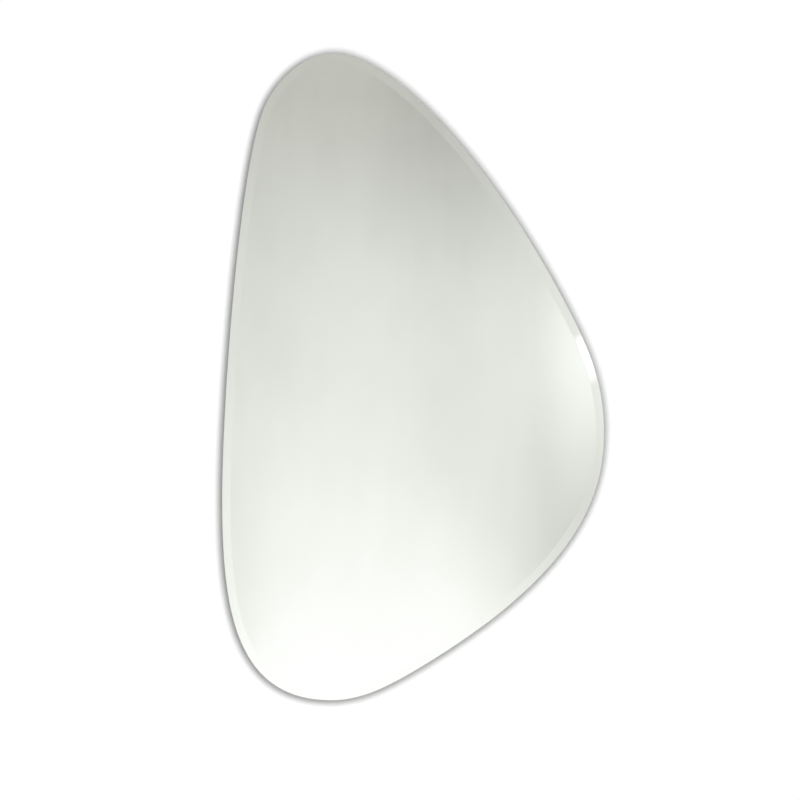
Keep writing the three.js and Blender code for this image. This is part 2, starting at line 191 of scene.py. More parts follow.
class Signal:
    """One output in a shader tree. Arithmetic on it adds the Math nodes that do it."""

    def __init__(self, tree, socket):
        self.tree = tree
        self.socket = socket

    def maths(self, operation, *values, clamp=False):
        return self.tree.add("Math", {"operation": operation, "use_clamp": clamp}, dict(enumerate(values)))

    def __add__(self, other):
        return self.maths("ADD", self, other)

    def __sub__(self, other):
        return self.maths("SUBTRACT", self, other)

    def __rsub__(self, other):
        return self.maths("SUBTRACT", other, self)

    def __mul__(self, other):
        return self.maths("MULTIPLY", self, other)

    def __truediv__(self, other):
        return self.maths("DIVIDE", self, other)

    def __pow__(self, other):
        return self.maths("POWER", self, other)

    __radd__ = __add__
    __rmul__ = __mul__

    def clamped(self):
        return self.maths("ADD", self, 0.0, clamp=True)

    def between(self, low, high):
        """0 at low, 1 at high, and a smooth step in between."""
        return self.tree.add(
            "MapRange",
            {"interpolation_type": "SMOOTHSTEP"},
            {"Value": self, "From Min": low, "From Max": high},
        )

    def absolute(self):
        return self.maths("ABSOLUTE", self)

    def largest(self, other):
        return self.maths("MAXIMUM", self, other)


class ShaderTree:
    """The node tree of a material or a world."""

    def __init__(self, owner):
        owner.use_nodes = True
        self.owner = owner
        self.tree = owner.node_tree
        self.tree.nodes.clear()

    def add(self, kind, settings=None, inputs=None, output=0):
        """A node of a kind, its settings made first, then the values or links of its sockets."""
        node = self.tree.nodes.new("ShaderNode" + kind)
        for name, value in (settings or {}).items():
            if name == "stops":
                self.set_stops(node.color_ramp, value)
            else:
                setattr(node, name, value)
        for name, value in (inputs or {}).items():
            self.feed(node.inputs[name], value)
        return Signal(self, node.outputs[output]) if len(node.outputs) else node

    @staticmethod
    def set_stops(ramp, stops):
        """The grey stops of a ramp, each a position and a value."""
        while len(ramp.elements) < len(stops):
            ramp.elements.new(0.5)
        for element, (position, value) in zip(ramp.elements, stops):
            element.position = position
            element.color = (value, value, value, 1.0)

    def feed(self, socket, value):
        if isinstance(value, Signal):
            self.tree.links.new(value.socket, socket)
        elif socket.type == "RGBA":
            socket.default_value = (*value, 1.0)
        else:
            socket.default_value = value

    def place(self, stretch=(1.0, 1.0, 1.0), turn=(0.0, 0.0, 0.0)):
        """The piece's own coordinates, stretched and turned."""
        spot = self.add("TexCoord", output="Object")
        return self.add("Mapping", None, {"Vector": spot, "Rotation": turn, "Scale": stretch})

    def noise(self, scale, detail=4.0, roughness=0.55, vector=None):
        """Soft noise from 0 to 1, with its scale in cycles per metre."""
        return self.add(
            "TexNoise",
            None,
            {
                "Vector": vector or self.place(),
                "Scale": scale,
                "Detail": detail,
                "Roughness": roughness,
            },
        )

    def ray(self, *kinds):
        """1 for a light path of any of the kinds, such as Camera or Glossy."""
        found = 0.0
        for kind in kinds:
            is_kind = self.add("LightPath", output=f"Is {kind} Ray")
            found = is_kind.largest(found)
        return found

    def part(self, vector, axis):
        """One part of a vector: X, Y or Z."""
        return self.add("SeparateXYZ", None, {0: vector}, output=axis)

    def blend(self, factor, first, second):
        """A mix of two surfaces."""
        return self.add("MixShader", None, {0: factor, 1: first, 2: second})

    def mix(self, factor, first, second, blend="MIX"):
        """A mix of two colours."""
        sockets = {"Factor": factor, 6: first, 7: second}
        return self.add("Mix", {"data_type": "RGBA", "blend_type": blend}, sockets, output=2)

    def bump(self, height, distance, strength=1.0):
        return self.add("Bump", None, {"Height": height, "Distance": distance, "Strength": strength})

    def principled(self, **sockets):
        """The surface, with socket names written in lower case with underscores."""
        spelled = {name.replace("_", " ").title(): value for name, value in sockets.items()}
        if "Ior" in spelled:
            spelled["IOR"] = spelled.pop("Ior")
        return self.add("BsdfPrincipled", None, spelled)

    def finish(self, surface, volume=None):
        sockets = {"Surface": surface}
        if volume:
            sockets["Volume"] = volume
        kind = "OutputWorld" if isinstance(self.owner, bpy.types.World) else "OutputMaterial"
        self.add(kind, None, sockets)
        return self.owner


def material(name):
    return ShaderTree(bpy.data.materials.new(name))


def toned(base, share):
    """A colour made lighter or darker."""
    return tuple(share * c for c in base)


def clear_glass(settings):
    """Float glass: clear, with the faint green that shows along its edge."""
    tree = material("clear_glass")
    surface = tree.principled(
        base_color=tuple(settings.tint), roughness=0.0, transmission_weight=1.0, ior=GLASS_IOR
    )
    green = tree.add("VolumeAbsorption", None, {"Color": (0.3, 0.86, 0.62), "Density": 2.0})
    return tree.finish(surface, green)


def ground_edge():
    """The rim and its arrises: ground, then polished less finely than the bevel."""
    tree = material("ground_edge")
    lines = tree.noise(60.0, 2.0, vector=tree.place((1.0, 40.0, 1.0)))
    cloud = tree.noise(25.0)
    # The dark grey-green base is partly the edge's own colour and partly painted shade: it is darkened so
    # that the rim shows as a thin dark line.
    surface = tree.principled(
        base_color=(0.2, 0.28, 0.24),
        roughness=0.2 + 0.14 * cloud,
        transmission_weight=0.6,
        ior=GLASS_IOR,
        normal=tree.bump(lines, 0.00002, 0.4),
    )
    return tree.finish(surface)


def bright_silver(settings):
    """The silver seen through the glass."""
    tree = material("bright_silver")
    surface = tree.principled(base_color=tuple(settings.silver), roughness=0.0, metallic=1.0)
    return tree.finish(surface)


def mirror_paint(settings):
    """The protective paint that covers the silver's back and edge."""
    tree = material("mirror_paint")
    curtain = tree.noise(14.0, 3.0, vector=tree.place((1.0, 1.0, 0.25)))
    orange_peel = tree.noise(900.0, 2.0)
    base = tuple(settings.paint)
    shade = tree.mix(curtain.between(0.35, 0.7), base, toned(base, 0.8))
    surface = tree.principled(
        base_color=shade, roughness=0.42 + 0.12 * curtain, normal=tree.bump(orange_peel, 0.00004)
    )
    return tree.finish(surface)


def woven_film(settings):
    """Safety film: pale plastic over a net of crossed threads."""
    tree = material("woven_film")
    threads = None
    for turn in (45.0, -45.0):
        spot = tree.place(turn=(0.0, math.radians(turn), 0.0))
        wave = tree.add(
            "TexWave",
            {"wave_type": "BANDS", "bands_direction": "X", "wave_profile": "SIN"},
            {"Vector": spot, "Scale": 50.0, "Distortion": 0.6, "Detail": 1.0, "Detail Scale": 0.4},
            output="Fac",
        )
        ridge = wave.between(0.78, 0.97)
        threads = ridge if threads is None else threads.largest(ridge)
    wrinkle = tree.noise(16.0, 3.0, vector=tree.place((1.0, 1.0, 0.4)))
    base = tuple(settings.film)
    clouded = tree.mix(wrinkle.between(0.3, 0.75), base, toned(base, 0.88))
    shade = tree.mix(0.55 * threads, clouded, (0.8, 0.81, 0.8))
    height = threads * 0.5 + wrinkle
    surface = tree.principled(
        base_color=shade,
        roughness=0.5 - 0.12 * threads + 0.1 * wrinkle,
        normal=tree.bump(height, 0.0002),
        coat_weight=0.15,
        coat_roughness=0.3,
    )
    return tree.finish(surface)


def fibreboard(settings, sawn=False):
    """Fibreboard: short fibres lying every way, with dark specks. A sawn edge is darker and furrier."""
    tree = material("fibreboard_edge" if sawn else "fibreboard")
    base = tuple(settings.board)
    felt = tree.noise(800.0, 5.0, 0.75, tree.place((1.0, 1.0, 0.6), (0.0, 0.6, 0.0)))
    crossed = tree.noise(950.0, 5.0, 0.75, tree.place((0.6, 1.0, 1.0), (0.0, 0.3, 0.0)))
    cloud = tree.noise(9.0, 3.0)
    specks = tree.add("TexVoronoi", {"feature": "F1"}, {"Vector": tree.place(), "Scale": 520.0})
    fibre = (felt + crossed) * 0.5
    depth = 0.78 if sawn else 1.0
    shade = tree.mix(fibre.between(0.34, 0.66), toned(base, 0.78 * depth), toned(base, 1.18 * depth))
    shade = tree.mix(0.3 * cloud.between(0.35, 0.7), shade, toned(base, 0.82 * depth))
    shade = tree.mix(0.55 * (1.0 - specks.between(0.1, 0.24)), shade, toned(base, 0.42))
    if sawn:
        furrow = tree.noise(30.0, 3.0, 0.6, tree.place((1.0, 60.0, 1.0)))
        height, rise = fibre + furrow, 0.00025
    else:
        height, rise = fibre, 0.00008
    surface = tree.principled(
        base_color=shade, roughness=0.74 + 0.16 * fibre, normal=tree.bump(height, rise)
    )
    return tree.finish(surface)


def closed_cell_foam(settings):
    """Foam tape: soft, off-white, with fine closed cells."""
    tree = material("closed_cell_foam")
    cells = tree.add("TexVoronoi", {"feature": "F1"}, {"Vector": tree.place(), "Scale": 2200.0})
    cloud = tree.noise(40.0, 3.0)
    base = tuple(settings.foam)
    shade = tree.mix(cells.between(0.2, 0.7), toned(base, 0.78), base)
    shade = tree.mix(0.3 * cloud, shade, toned(base, 0.85))
    surface = tree.principled(
        base_color=shade, roughness=0.85 + 0.1 * cloud, normal=tree.bump(cells, 0.00012)
    )
    return tree.finish(surface)


def cured_adhesive(settings):
    """Mirror adhesive: a squeezed, slightly glossy bead."""
    tree = material("cured_adhesive")
    ripple = tree.noise(160.0, 3.0, vector=tree.place((1.0, 3.0, 1.0)))
    base = tuple(settings.adhesive)
    shade = tree.mix(ripple.between(0.35, 0.7), base, toned(base, 0.84))
    surface = tree.principled(
        base_color=shade, roughness=0.38 + 0.2 * ripple, normal=tree.bump(ripple, 0.0003)
    )
    return tree.finish(surface)


def zinc_plate(settings, name="zinc_plate", draw=(1.0, 1.0, 1.0)):
    """Bright zinc plating over rolled steel, with faint draw lines and a blue and straw bloom."""
    tree = material(name)
    base = tuple(settings.zinc)
    lines = tree.noise(900.0, 2.0, 0.5, tree.place(draw))
    bloom = tree.noise(130.0, 3.0)
    scuffs = tree.noise(420.0, 4.0, 0.65, tree.place((1.0, 1.0, 4.0))).between(0.6, 0.74)
    cool = tuple(c * k for c, k in zip(base, (0.93, 0.98, 1.05)))
    straw = tuple(c * k for c, k in zip(base, (1.06, 1.0, 0.86)))
    shade = tree.mix(bloom.between(0.38, 0.62), cool, straw)
    shade = tree.mix(0.35 * scuffs, shade, (0.82, 0.82, 0.81))
    surface = tree.principled(
        base_color=shade,
        metallic=1.0,
        roughness=0.26 + 0.14 * bloom + 0.12 * scuffs,
        normal=tree.bump(lines + scuffs * 0.4, 0.00003),
    )
    return tree.finish(surface)


def matte_rubber(settings):
    """Black rubber with a fine grain and a little dust."""
    tree = material("matte_rubber")
    grain = tree.noise(1600.0, 2.0, 0.6)
    dust = tree.noise(220.0, 4.0, 0.65).between(0.5, 0.75)
    shade = tree.mix(0.3 * dust, tuple(settings.rubber), (0.16, 0.155, 0.15))
    surface = tree.principled(
        base_color=shade, roughness=0.62 + 0.2 * dust + 0.08 * grain, normal=tree.bump(grain, 0.00006)
    )
    return tree.finish(surface)


# -------------------------------------------------------------------------------- shape helpers


def rim_face(bm, inset, depth, steps):
    """The flat n-gon inside the outline drawn in by an inset, at a depth, facing the room."""
    curve = bpy.data.curves.new("outline", "CURVE")
    curve.dimensions = "3D"
    curve.resolution_u = steps
    spline = curve.splines.new("BEZIER")
    spline.bezier_points.add(len(OUTLINE) - 1)
    spline.use_cyclic_u = True
    size = GLASS_HIGH - GLASS_LOW
    stretch = size.x / OUTLINE_WIDTH, size.z / OUTLINE_HEIGHT
    for point, (across, up, heading, before, after) in zip(spline.bezier_points, OUTLINE):
        angle = math.radians(heading)
        along = Vector((math.cos(angle) * stretch[0], 0, math.sin(angle) * stretch[1])) * MM
        place = Vector((across * stretch[0], 0, up * stretch[1])) * MM
        place += Vector((GLASS_CENTRE.x, depth, GLASS_CENTRE.z))
        point.handle_left_type = point.handle_right_type = "FREE"
        point.co = place
        point.handle_left = place - along * before
        point.handle_right = place + along * after
    holder = bpy.data.objects.new("outline", curve)
    mesh = bpy.data.meshes.new_from_object(holder)
    bm.from_mesh(mesh)
    bpy.data.objects.remove(holder)
    bpy.data.curves.remove(curve)
    bpy.data.meshes.remove(mesh)
    face = bmesh.ops.edgeloop_fill(bm, edges=bm.edges)["faces"][0]
    face.normal_update()
    if face.normal.y > 0:
        face.normal_flip()
    if inset > 0:
        margin = bmesh.ops.inset_region(
            bm, faces=[face], thickness=inset, use_boundary=True, use_even_offset=True
        )
        bmesh.ops.delete(bm, geom=margin["faces"], context="FACES")
    return bm.faces[:][0]


def of_kind(items, kind):
    """The items of one bmesh type."""
    return [item for item in items if isinstance(item, kind)]


def extruded(bm, faces, vector):
    """Extrudes faces by a vector, and gives back the moved faces."""
    grown = bmesh.ops.extrude_face_region(bm, geom=faces)["geom"]
    bmesh.ops.translate(bm, verts=of_kind(grown, bmesh.types.BMVert), vec=vector)
    return of_kind(grown, bmesh.types.BMFace)


def bevelled(bm, edges, width, segments=2):
    """Rounds edges off, and gives back the new faces."""
    return bmesh.ops.bevel(
        bm, geom=edges, offset=width, segments=segments, profile=0.5, affect="EDGES", material=-1
    )["faces"]


def plate(inset, back, front, steps):
    """A flat sheet inside the outline, from one depth to another. Its last face is the room side."""
    bm = bmesh.new()
    face = rim_face(bm, inset, back, steps)
    front_face = extruded(bm, [face], (0, front - back, 0))[0]
    bmesh.ops.recalc_face_normals(bm, faces=bm.faces)
    return bm, front_face


def turned(points, centre, axis, steps):
    """A solid of revolution: a profile of (radius, height) pairs from pole to pole, spun about an axis."""
    bm = bmesh.new()
    across = axis.orthogonal().normalized()
    last = None
    for radius, height in points:
        vert = bm.verts.new(centre + across * radius + axis * height)
        if last:
            bm.edges.new((last, vert))
        last = vert
    profile = bm.verts[:] + bm.edges[:]
    bmesh.ops.spin(
        bm, geom=profile, cent=centre, axis=axis, angle=2 * math.pi, steps=steps, use_merge=True
    )
    bmesh.ops.remove_doubles(bm, verts=bm.verts, dist=1e-7)
    bmesh.ops.recalc_face_normals(bm, faces=bm.faces)
    return bm


def cut_with(mesh, cutter):
    """A mesh less a bmesh."""
    tool_mesh = bpy.data.meshes.new("cutter")
    cutter.to_mesh(tool_mesh)
    cutter.free()
    tool = bpy.data.objects.new("cutter", tool_mesh)
    holder = bpy.data.objects.new("holder", mesh)
    for item in (tool, holder):
        bpy.context.scene.collection.objects.link(item)
    modifier = holder.modifiers.new("cut", "BOOLEAN")
    modifier.object = tool
    modifier.operation = "DIFFERENCE"
    modifier.solver = "EXACT"
    modifier.use_self = True
    bpy.context.view_layer.update()
    result = bpy.data.meshes.new_from_object(holder.evaluated_get(bpy.context.evaluated_depsgraph_get()))
    bpy.data.objects.remove(tool)
    bpy.data.objects.remove(holder)
    return result


def to_mesh(name, bm):
    mesh = bpy.data.meshes.new(name)
    bm.to_mesh(mesh)
    bm.free()
    return mesh


def add_piece(name, mesh, materials, body, nodes, crease=30.0):
    """Makes a piece of a closed mesh, smooth but for its sharp edges, that stands for CAD nodes."""
    bm = bmesh.new()
    bm.from_mesh(mesh)
    open_edges = sum(len(edge.link_faces) != 2 for edge in bm.edges)
    if open_edges or not bm.faces:
        raise RuntimeError(f"{name} has {len(bm.faces)} faces and {open_edges} open edges")
    for face in bm.faces:
        face.smooth = True
    for edge in bm.edges:
        edge.smooth = edge.calc_face_angle(0.0) < math.radians(crease)
    bm.to_mesh(mesh)
    bm.free()
    mesh.name = name
    mesh.materials.clear()
    for item in materials:
        mesh.materials.append(item)
    piece = bpy.data.objects.new(name, mesh)
    bpy.context.scene.collection.objects.link(piece)
    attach(piece, body)
    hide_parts(*nodes)


# -------------------------------------------------------------------------- glass and its back


class WALLMIRROR_OT_glass(Operator):
    """Add the bevelled glass"""

    bl_idname = "wall_mirror.glass"
    bl_label = "Bevelled glass"

    def execute(self, context):
        settings = context.scene.mirror_glass
        back, front = GLASS_HIGH.y, GLASS_LOW.y
        edge_front = back - settings.edge_thickness
        bm, face = plate(0.0, back, edge_front, settings.rim_steps)
        rim_loops = [edge for edge in bm.edges if any(len(side.verts) > 4 for side in edge.link_faces)]
        bmesh.ops.inset_region(
            bm,
            faces=[face],
            thickness=settings.bevel_width,
            depth=edge_front - front,
            use_even_offset=True,
        )
        arris = set(bevelled(bm, rim_loops, settings.arris))
        for item in bm.faces:
            item.normal_update()
            item.material_index = int(item in arris or abs(item.normal.y) < 0.5)
        mesh = to_mesh("glass", bm)
        finishes = (clear_glass(settings), ground_edge())
        add_piece("bevelled_glass", mesh, finishes, "mirror", ["mirror_glass"], crease=5.0)
        return {"FINISHED"}


class WALLMIRROR_OT_silver(Operator):
    """Add the silver with its paint, a hair behind the glass"""

    bl_idname = "wall_mirror.silver"
    bl_label = "Silver and paint"

    def execute(self, context):
        settings = context.scene.mirror_glass
        inset = SILVER_LOW.x - GLASS_LOW.x
        bm, face = plate(inset, SILVER_HIGH.y, SILVER_LOW.y + HAIR, settings.rim_steps)
        for item in bm.faces:
            item.material_index = int(item != face)
        finishes = (bright_silver(settings), mirror_paint(settings))
        add_piece("silvering", to_mesh("silver", bm), finishes, "mirror", ["silver_coating"])
        return {"FINISHED"}


class WALLMIRROR_OT_film(Operator):
    """Add the safety film over the paint"""

    bl_idname = "wall_mirror.film"
    bl_label = "Safety film"

    def execute(self, context):
        settings = context.scene.mirror_glass
        bm, _ = plate(FILM_LOW.x - GLASS_LOW.x, FILM_HIGH.y, FILM_LOW.y + HAIR, settings.rim_steps)
        finishes = (woven_film(settings),)
        add_piece("backing_film", to_mesh("film", bm), finishes, "mirror", ["safety_film"])
        return {"FINISHED"}


class WALLMIRROR_OT_adhesive(Operator):
    """Finish the foam tape, and add the dabs of adhesive between the strips"""

    bl_idname = "wall_mirror.adhesive"
    bl_label = "Tape and adhesive"

    def execute(self, context):
        settings = context.scene.mirror_back
        foam = closed_cell_foam(settings)
        bead = cured_adhesive(settings)
        for name, node in frame["nodes"].items():
            if name.startswith("foam_tape"):
                node.data.materials.clear()
                node.data.materials.append(foam)
        for name in sorted(n for n in frame["nodes"] if n.startswith("adhesive_dab")):
            self.add_dab(name, bead)
        return {"FINISHED"}

    @staticmethod
    def add_dab(name, finish):
        """A bead pressed flat between film and board, so that its rim bulges and wanders."""
        low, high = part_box(name)
        centre = (low + high) / 2
        radius, half = (high - low).x / 2, (high - low).y / 2
        bulge, unevenness = 0.8 * MM, 1.6 * MM
        steepest = 80  # degrees
        profile = [(0.0, -half)]
        for degrees in range(-steepest, steepest + 1, 20):
            angle = math.radians(degrees)
            out = radius - bulge * (1 - math.cos(angle))
            profile.append((out, half * math.sin(angle) / math.sin(math.radians(steepest))))
        profile.append((0.0, half))
        bm = turned(profile, centre, Y_AXIS, 72)
        for vert in bm.verts:
            out = vert.co - centre
            out.y = 0
            if out.length > radius / 2:
                wander = noise.noise(out.normalized() * 1.6 + centre * 40)
                vert.co += out.normalized() * (wander - 0.5) * unevenness
        add_piece(f"bead_of_{name}", to_mesh(name, bm), (finish,), "mirror", [name])


class WALLMIRROR_OT_board(Operator):
    """Add the fibreboard with its eased edge and pilot holes"""

    bl_idname = "wall_mirror.board"
    bl_label = "Fibreboard"

    def execute(self, context):
        settings = context.scene.mirror_back
        inset = BOARD_LOW.x - GLASS_LOW.x
        bm, _ = plate(inset, BOARD_HIGH.y, BOARD_LOW.y, context.scene.mirror_glass.rim_steps)
        back = next(face for face in bm.faces if face.normal.y > 0.5)
        bevelled(bm, list(back.edges), settings.chamfer, segments=3)
        for item in bm.faces:
            item.normal_update()
            item.material_index = int(abs(item.normal.y) < 0.99)
        mesh = to_mesh("board", bm)
        holes = bmesh.new()
        for side in SIDES:
            for level in LEVELS:
                low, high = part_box(f"screw_{side}_{level}")
                place = Matrix.Translation((low + high) / 2) @ Matrix.Rotation(math.pi / 2, 4, "X")
                bmesh.ops.create_cone(
                    holes,
                    cap_ends=True,
                    segments=32,
                    radius1=HOLE_RADIUS,
                    radius2=HOLE_RADIUS,
                    depth=(high - low).y + 0.7 * MM,
                    matrix=place,
                )
        mesh = cut_with(mesh, holes)
        finishes = (fibreboard(settings), fibreboard(settings, sawn=True))
        add_piece("fibreboard_back", mesh, finishes, "mirror", ["backing_board"])
        return {"FINISHED"}


# ------------------------------------------------------------------------------------- hangers


class WALLMIRROR_OT_straps(Operator):
    """Add the two straps, each a strip with a round foot, two holes and a rolled eye"""

    bl_idname = "wall_mirror.straps"
    bl_label = "Strap hangers"

    def execute(self, context):
        settings = context.scene.mirror_hangers
        finish = zinc_plate(settings, "zinc_strap", (6.0, 6.0, 0.3))
        for side in SIDES:
            mesh = self.strap_mesh(settings, side)
            add_piece(f"strap_hanger_{side}", mesh, (finish,), "mirror", [f"strap_{side}"])
        return {"FINISHED"}

    @staticmethod
    def strap_mesh(settings, side):
        axis = joint_axis(side)
        half = settings.strap_width / 2
        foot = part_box(f"strap_{side}")[0].z
        bm = bmesh.new()
        start = bm.verts.new((axis.x + half, BOARD_BACK, foot + half))
        centre = Vector((axis.x, BOARD_BACK, foot + half))
        round_end = bmesh.ops.spin(bm, geom=[start], cent=centre, axis=Y_AXIS, angle=math.pi, steps=24)
        end = round_end["geom_last"][0]
        tops = [bm.verts.new((vert.co.x, BOARD_BACK, axis.z)) for vert in (start, end)]
        bm.edges.new((start, tops[0]))
        bm.edges.new((end, tops[1]))
        bm.edges.new(tops)
        for level in LEVELS:
            low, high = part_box(f"screw_{side}_{level}")
            middle = (low + high) / 2
            middle.y = BOARD_BACK
            place = Matrix.Translation(middle) @ Matrix.Rotation(math.pi / 2, 4, "X")
            bmesh.ops.create_circle(bm, cap_ends=False, segments=32, radius=HOLE_RADIUS, matrix=place)
        bmesh.ops.triangle_fill(bm, use_beauty=True, use_dissolve=False, edges=bm.edges)
        extruded(bm, bm.faces[:], (0, settings.strap_thickness, 0))
        bmesh.ops.recalc_face_normals(bm, faces=bm.faces)
        end_face = max(bm.faces, key=lambda face: (round(face.normal.z, 3), face.calc_center_median().z))
        bmesh.ops.spin(
            bm,
            geom=[end_face, *end_face.edges, *end_face.verts],
            cent=axis,
            axis=-X_AXIS,
            angle=settings.eye_turn,
            steps=48,
        )
        bmesh.ops.recalc_face_normals(bm, faces=bm.faces)
        sharp = [edge for edge in bm.edges if edge.calc_face_angle(0.0) > math.radians(35.0)]
        bevelled(bm, sharp, settings.strap_rounding)
        return to_mesh("strap", bm)


class WALLMIRROR_OT_rings(Operator):
    """Add the two D-rings, standing up in their eyes"""

    bl_idname = "wall_mirror.rings"
    bl_label = "D-rings"

    def execute(self, context):
        settings = context.scene.mirror_hangers
        finish = zinc_plate(settings, "zinc_wire", (1.0, 1.0, 1.0))
        for side in SIDES:
            mesh = self.ring_mesh(settings, side)
            add_piece(f"d_ring_{side}", mesh, (finish,), f"ring_{side}", [f"ring_{side}"])
        return {"FINISHED"}

    @staticmethod
    def ring_mesh(settings, side):
        """The wire's section is spun and extruded round the ring from the end of its bar."""
        corner, leg = settings.ring_corner, settings.ring_leg
        half = settings.strap_width / 2 + settings.ring_gap + corner
        flat = half - corner
        bm = bmesh.new()
        section = Matrix.Translation((flat, 0, 0)) @ Matrix.Rotation(math.pi / 2, 4, "Y")
        radius = settings.wire_radius
        bmesh.ops.create_circle(bm, cap_ends=False, segments=28, radius=radius, matrix=section)
        edges = bm.edges[:]

        def bend(centre, degrees, steps):
            verts = list({vert for edge in edges for vert in edge.verts})
            swept = bmesh.ops.spin(
                bm,
                geom=verts + edges,
                cent=centre,
                axis=-Y_AXIS,
                angle=math.radians(degrees),
                steps=steps,
            )["geom_last"]
            edges[:] = of_kind(swept, bmesh.types.BMEdge)

        def straight(vector):
            grown = bmesh.ops.extrude_edge_only(bm, edges=edges)["geom"]
            moved = of_kind(grown, bmesh.types.BMVert)
            bmesh.ops.translate(bm, verts=moved, vec=vector)
            ends = set(moved)
            edges[:] = [item for item in of_kind(grown, bmesh.types.BMEdge) if ends.issuperset(item.verts)]

        corner_steps, crown_steps = 10, 44
        bend((flat, 0, corner), 90, corner_steps)
        straight((0, 0, leg))
        bend((0, 0, corner + leg), 180, crown_steps)
        straight((0, 0, -leg))
        bend((-flat, 0, corner), 90, corner_steps)
        straight((2 * flat, 0, 0))
        bmesh.ops.remove_doubles(bm, verts=bm.verts, dist=1e-6)
        bmesh.ops.recalc_face_normals(bm, faces=bm.faces)
        height = corner + leg + half
        axis = joint_axis(side)
        reach = axis.y - BOARD_BACK - radius - settings.clearance
        lean = Matrix.Rotation(math.asin(reach / height), 4, "X")
        bmesh.ops.transform(bm, matrix=Matrix.Translation(axis) @ lean, verts=bm.verts)
        return to_mesh("ring", bm)


class WALLMIRROR_OT_screws(Operator):
    """Add the four pan-head screws with their cross recesses"""

    bl_idname = "wall_mirror.screws"
    bl_label = "Screws"
    TURNS = {"left": 141, "right": 172, "upper": 44, "lower": 0}  # where each screw stopped, in degrees

    def execute(self, context):
        settings = context.scene.mirror_hangers
        finish = zinc_plate(settings, "zinc_screw", (1.0, 1.0, 1.0))
        for side in SIDES:
            for level in LEVELS:
                node = f"screw_{side}_{level}"
                turn = self.TURNS[side] + self.TURNS[level]
                mesh = self.screw_mesh(settings, node, math.radians(turn))
                add_piece(f"pan_{node}", mesh, (finish,), "mirror", [node])
        return {"FINISHED"}

    @staticmethod
    def screw_mesh(settings, node, turn):
        """The head sits on the strap. The head's width and height and the screw's length are read off the
        CAD screw; the other sizes are given here.
        """
        low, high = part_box(node)
        middle = (low + high) / 2
        seat = BOARD_BACK + settings.strap_thickness
        radius, rise = (high - low).x / 2, high.y - seat
        shank, rim = 1.6 * MM, 0.9 * MM
        point, taper, edge = 0.25 * MM, 2.4 * MM, 0.15 * MM
        squareness = 0.8  # of the pan: 1 would be an ellipse
        base = Vector((middle.x, seat, middle.z))
        tip = low.y - seat
        profile = [(0.0, tip), (point, tip + point), (shank, tip + taper), (shank, 0.0)]
        profile += [(radius - edge, 0.0), (radius, edge), (radius, rim * 0.7)]
        for degrees in range(0, 90, 9):
            angle = math.radians(degrees)
            out = radius * math.cos(angle) ** squareness
            profile.append((out, rim + (rise - rim) * math.sin(angle)))
        profile.append((0.0, rise))
        head = to_mesh("screw", turned(profile, base, Y_AXIS, 48))
        recess = Vector((3.8, 2.4, 0.95)) * MM  # across, from above the crown to its floor, and wide
        narrowing = (0.55, 1.0, 0.775)  # of its floor
        cutter = bmesh.new()
        for quarter in (0, 1):
            arm = bmesh.ops.create_cube(cutter, size=1.0)["verts"]
            floor = [vert for vert in arm if vert.co.y < 0]
            bmesh.ops.scale(cutter, vec=recess, verts=arm)
            bmesh.ops.scale(cutter, vec=narrowing, verts=floor)
            place = Matrix.Translation((middle.x, high.y, middle.z))
            place = place @ Matrix.Rotation(turn + quarter * math.pi / 2, 4, "Y")
            bmesh.ops.transform(cutter, matrix=place, verts=arm)
        return cut_with(head, cutter)


class WALLMIRROR_OT_bumpers(Operator):
    """Add the four rubber bumpers"""

    bl_idname = "wall_mirror.bumpers"
    bl_label = "Bumpers"

    def execute(self, context):
        finish = matte_rubber(context.scene.mirror_hangers)
        for node in sorted(n for n in frame["nodes"] if n.startswith("bumper_")):
            low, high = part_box(node)
            middle = (low + high) / 2
            base = Vector((middle.x, low.y, middle.z))
            height, foot = (high - low).y, (high - low).x / 2
            face = foot - 1.5 * MM
            edge, corner = 0.3 * MM, 1.1 * MM
            profile = [(0.0, 0.0), (foot - edge, 0.0), (foot, edge), (foot - 0.12 * MM, 1.2 * MM)]
            for degrees in range(0, 91, 10):
                angle = math.radians(degrees)
                out = face - corner * (1 - math.cos(angle))
                profile.append((out, height - corner * (1 - math.sin(angle))))
            dish, dimple = height - 0.35 * MM, height - 0.6 * MM
            profile += [(face - 2.6 * MM, height), (face - 2.9 * MM, dish)]
            profile += [(2.0 * MM, dish), (1.8 * MM, dimple), (0.0, dimple)]
            bm = turned(profile, base, Y_AXIS, 64)
            add_piece(f"rubber_{node}", to_mesh("bumper", bm), (finish,), "mirror", [node])
        return {"FINISHED"}


# --------------------------------------------------------------------------------------- stage


